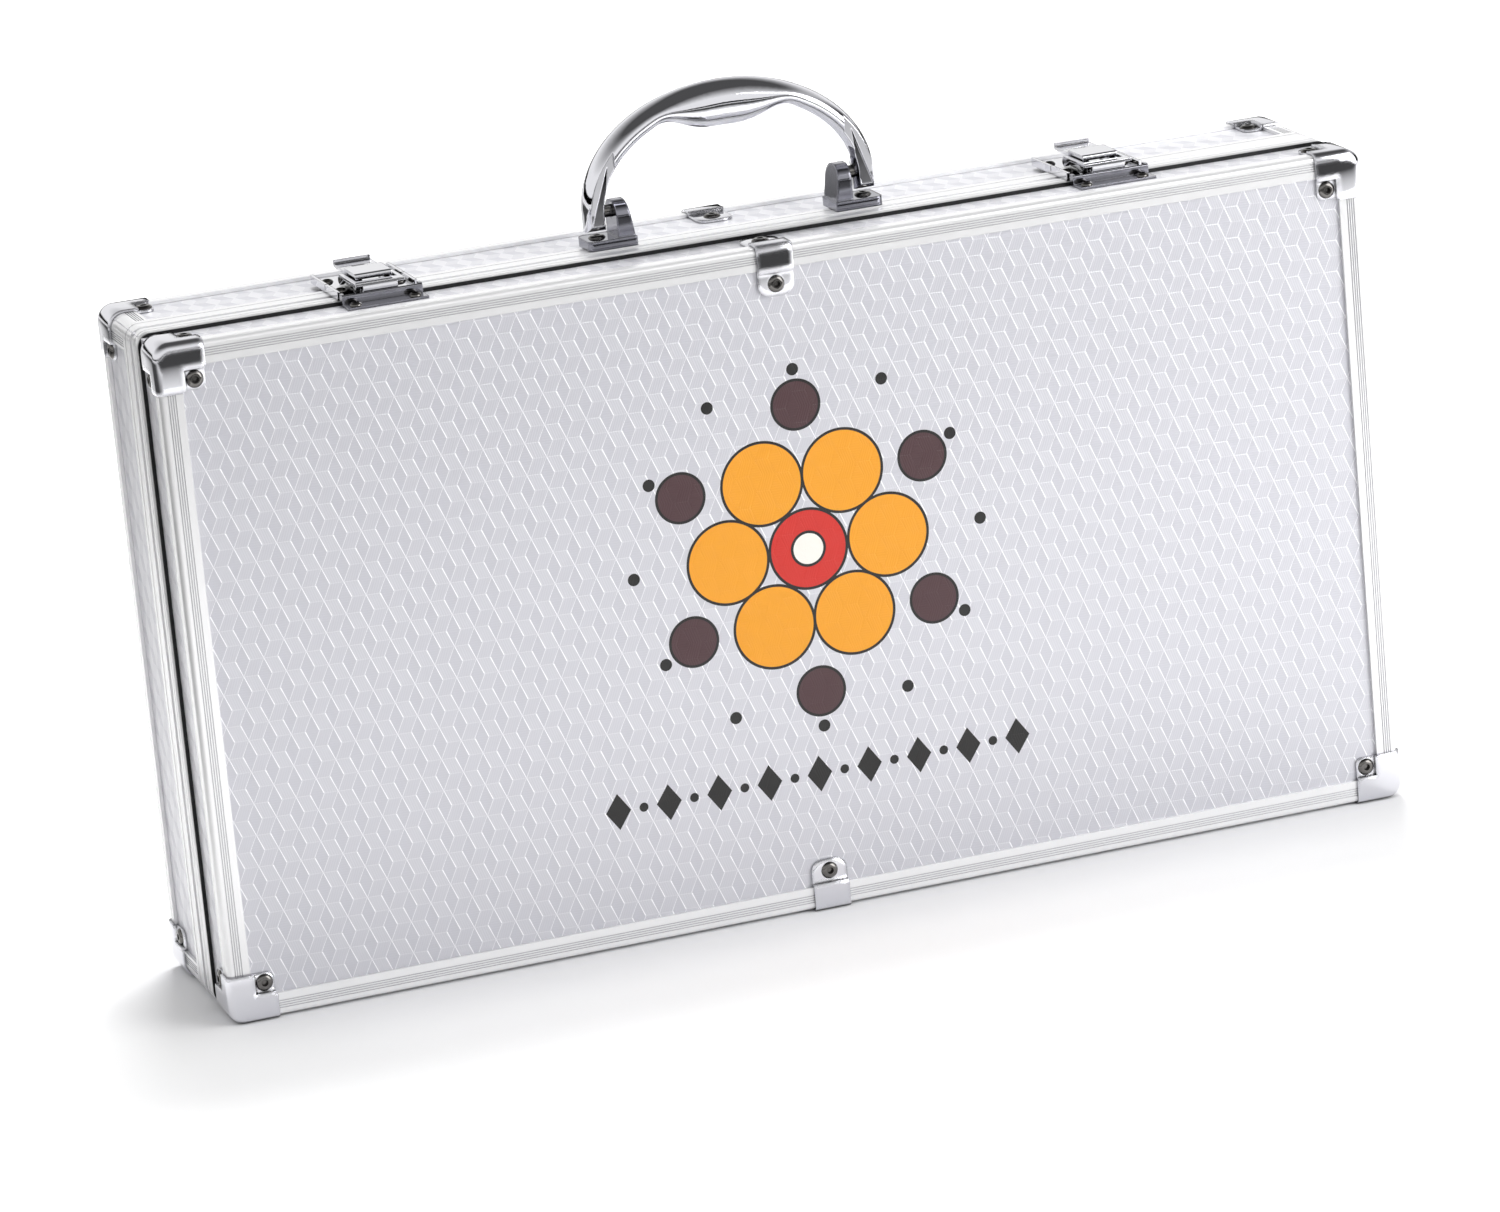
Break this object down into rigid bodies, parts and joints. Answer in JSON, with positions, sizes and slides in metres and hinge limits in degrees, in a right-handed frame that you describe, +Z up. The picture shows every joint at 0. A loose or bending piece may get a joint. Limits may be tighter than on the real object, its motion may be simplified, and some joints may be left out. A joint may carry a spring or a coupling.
{
  "type": "mahjong case",
  "caption": "Upright hard case for a mahjong set: embossed grey panels in a ribbed aluminium frame, chrome corner caps, arched carrying handle, toggle latches and a tile tray inside.",
  "frame": {"origin": "middle of the case's footprint, on the plane that the bottom corner caps stand on", "axes": "+X along the width, to the right as seen from the front; +Y from the lid to the base; +Z up, towards the carrying handle"},
  "size_m": [0.4016, 0.0716, 0.2652],
  "materials": {
    "embossed_panel": "embossed satin laminate",
    "frame_aluminium": "ribbed, satin anodised",
    "cap_chrome": "pressed and polished",
    "handle_chrome": "polished casting",
    "latch_chrome": "pressed and polished",
    "rivet_steel": "domed blind rivets and pins",
    "hinge_steel": "rolled strip",
    "lining_felt": "short black felt",
    "tray_flock": "flocked moulding"
  },
  "bodies": {
    "base": {"base_panel": "embossed_panel", "base_side_top": "embossed_panel", "base_edge_top": "frame_aluminium", "base_side_bottom": "embossed_panel", "base_edge_bottom": "frame_aluminium", "base_side_left": "embossed_panel", "base_edge_left": "frame_aluminium", "base_side_right": "embossed_panel", "base_edge_right": "frame_aluminium", "base_closing_frame": "frame_aluminium", "base_clip_top": "cap_chrome", "base_cap_top_left": "cap_chrome", "base_cap_top_right": "cap_chrome", "base_clip_bottom": "cap_chrome", "base_cap_bottom_left": "cap_chrome", "base_cap_bottom_right": "cap_chrome", "base_rivets": "rivet_steel", "base_lining": "lining_felt", "hinge_leaf_base_left": "hinge_steel", "hinge_leaf_base_right": "hinge_steel", "base_corner_profile_top_left": "frame_aluminium", "base_corner_profile_top_right": "frame_aluminium", "base_corner_profile_bottom_left": "frame_aluminium", "base_corner_profile_bottom_right": "frame_aluminium", "tile_tray": "tray_flock", "handle_bracket_left": "cap_chrome", "latch_plate_left": "latch_chrome", "handle_bracket_right": "cap_chrome", "latch_plate_right": "latch_chrome", "handle_pins": "rivet_steel", "hinge_pins": "hinge_steel", "latch_lever_pins": "rivet_steel"},
    "lid": {"lid_panel": "embossed_panel", "lid_side_top": "embossed_panel", "lid_edge_top": "frame_aluminium", "lid_side_bottom": "embossed_panel", "lid_edge_bottom": "frame_aluminium", "lid_side_left": "embossed_panel", "lid_edge_left": "frame_aluminium", "lid_side_right": "embossed_panel", "lid_edge_right": "frame_aluminium", "lid_closing_frame": "frame_aluminium", "lid_clip_top": "cap_chrome", "lid_cap_top_left": "cap_chrome", "lid_cap_top_right": "cap_chrome", "lid_clip_bottom": "cap_chrome", "lid_cap_bottom_left": "cap_chrome", "lid_cap_bottom_right": "cap_chrome", "lid_rivets": "rivet_steel", "lid_lining": "lining_felt", "hinge_leaf_lid_left": "hinge_steel", "hinge_leaf_lid_right": "hinge_steel", "latch_keeper_left": "latch_chrome", "latch_keeper_right": "latch_chrome"},
    "handle": {"carry_handle": "handle_chrome"},
    "lever_left": {"latch_lever_left": "latch_chrome"},
    "hook_left": {"latch_hook_left": "latch_chrome"},
    "lever_right": {"latch_lever_right": "latch_chrome"},
    "hook_right": {"latch_hook_right": "latch_chrome"}
  },
  "joints": [
    {"name": "lid_hinge", "type": "hinge", "parent": "base", "child": "lid", "pos_m": [0, -0.012, 0.0018], "axis": [1, 0, 0], "range_deg": [0, 95]},
    {"name": "handle_swing", "type": "hinge", "parent": "base", "child": "handle", "pos_m": [0, 0.004, 0.2288], "axis": [1, 0, 0], "range_deg": [-90, 90]},
    {"name": "latch_lever_left", "type": "hinge", "parent": "base", "child": "lever_left", "pos_m": [-0.122, -0.007, 0.2208], "axis": [1, 0, 0], "range_deg": [0, 90]},
    {"name": "latch_hook_left", "type": "hinge", "parent": "lever_left", "child": "hook_left", "pos_m": [-0.122, 0.003, 0.2208], "axis": [1, 0, 0], "range_deg": [-108, 0]},
    {"name": "latch_lever_right", "type": "hinge", "parent": "base", "child": "lever_right", "pos_m": [0.122, -0.007, 0.2208], "axis": [1, 0, 0], "range_deg": [0, 90]},
    {"name": "latch_hook_right", "type": "hinge", "parent": "lever_right", "child": "hook_right", "pos_m": [0.122, 0.003, 0.2208], "axis": [1, 0, 0], "range_deg": [-108, 0]}
  ],
  "couplings": [
    {"joint": "latch_hook_left", "follows": "latch_lever_left", "ratio": -1.2},
    {"joint": "latch_hook_right", "follows": "latch_lever_right", "ratio": -1.2}
  ]
}
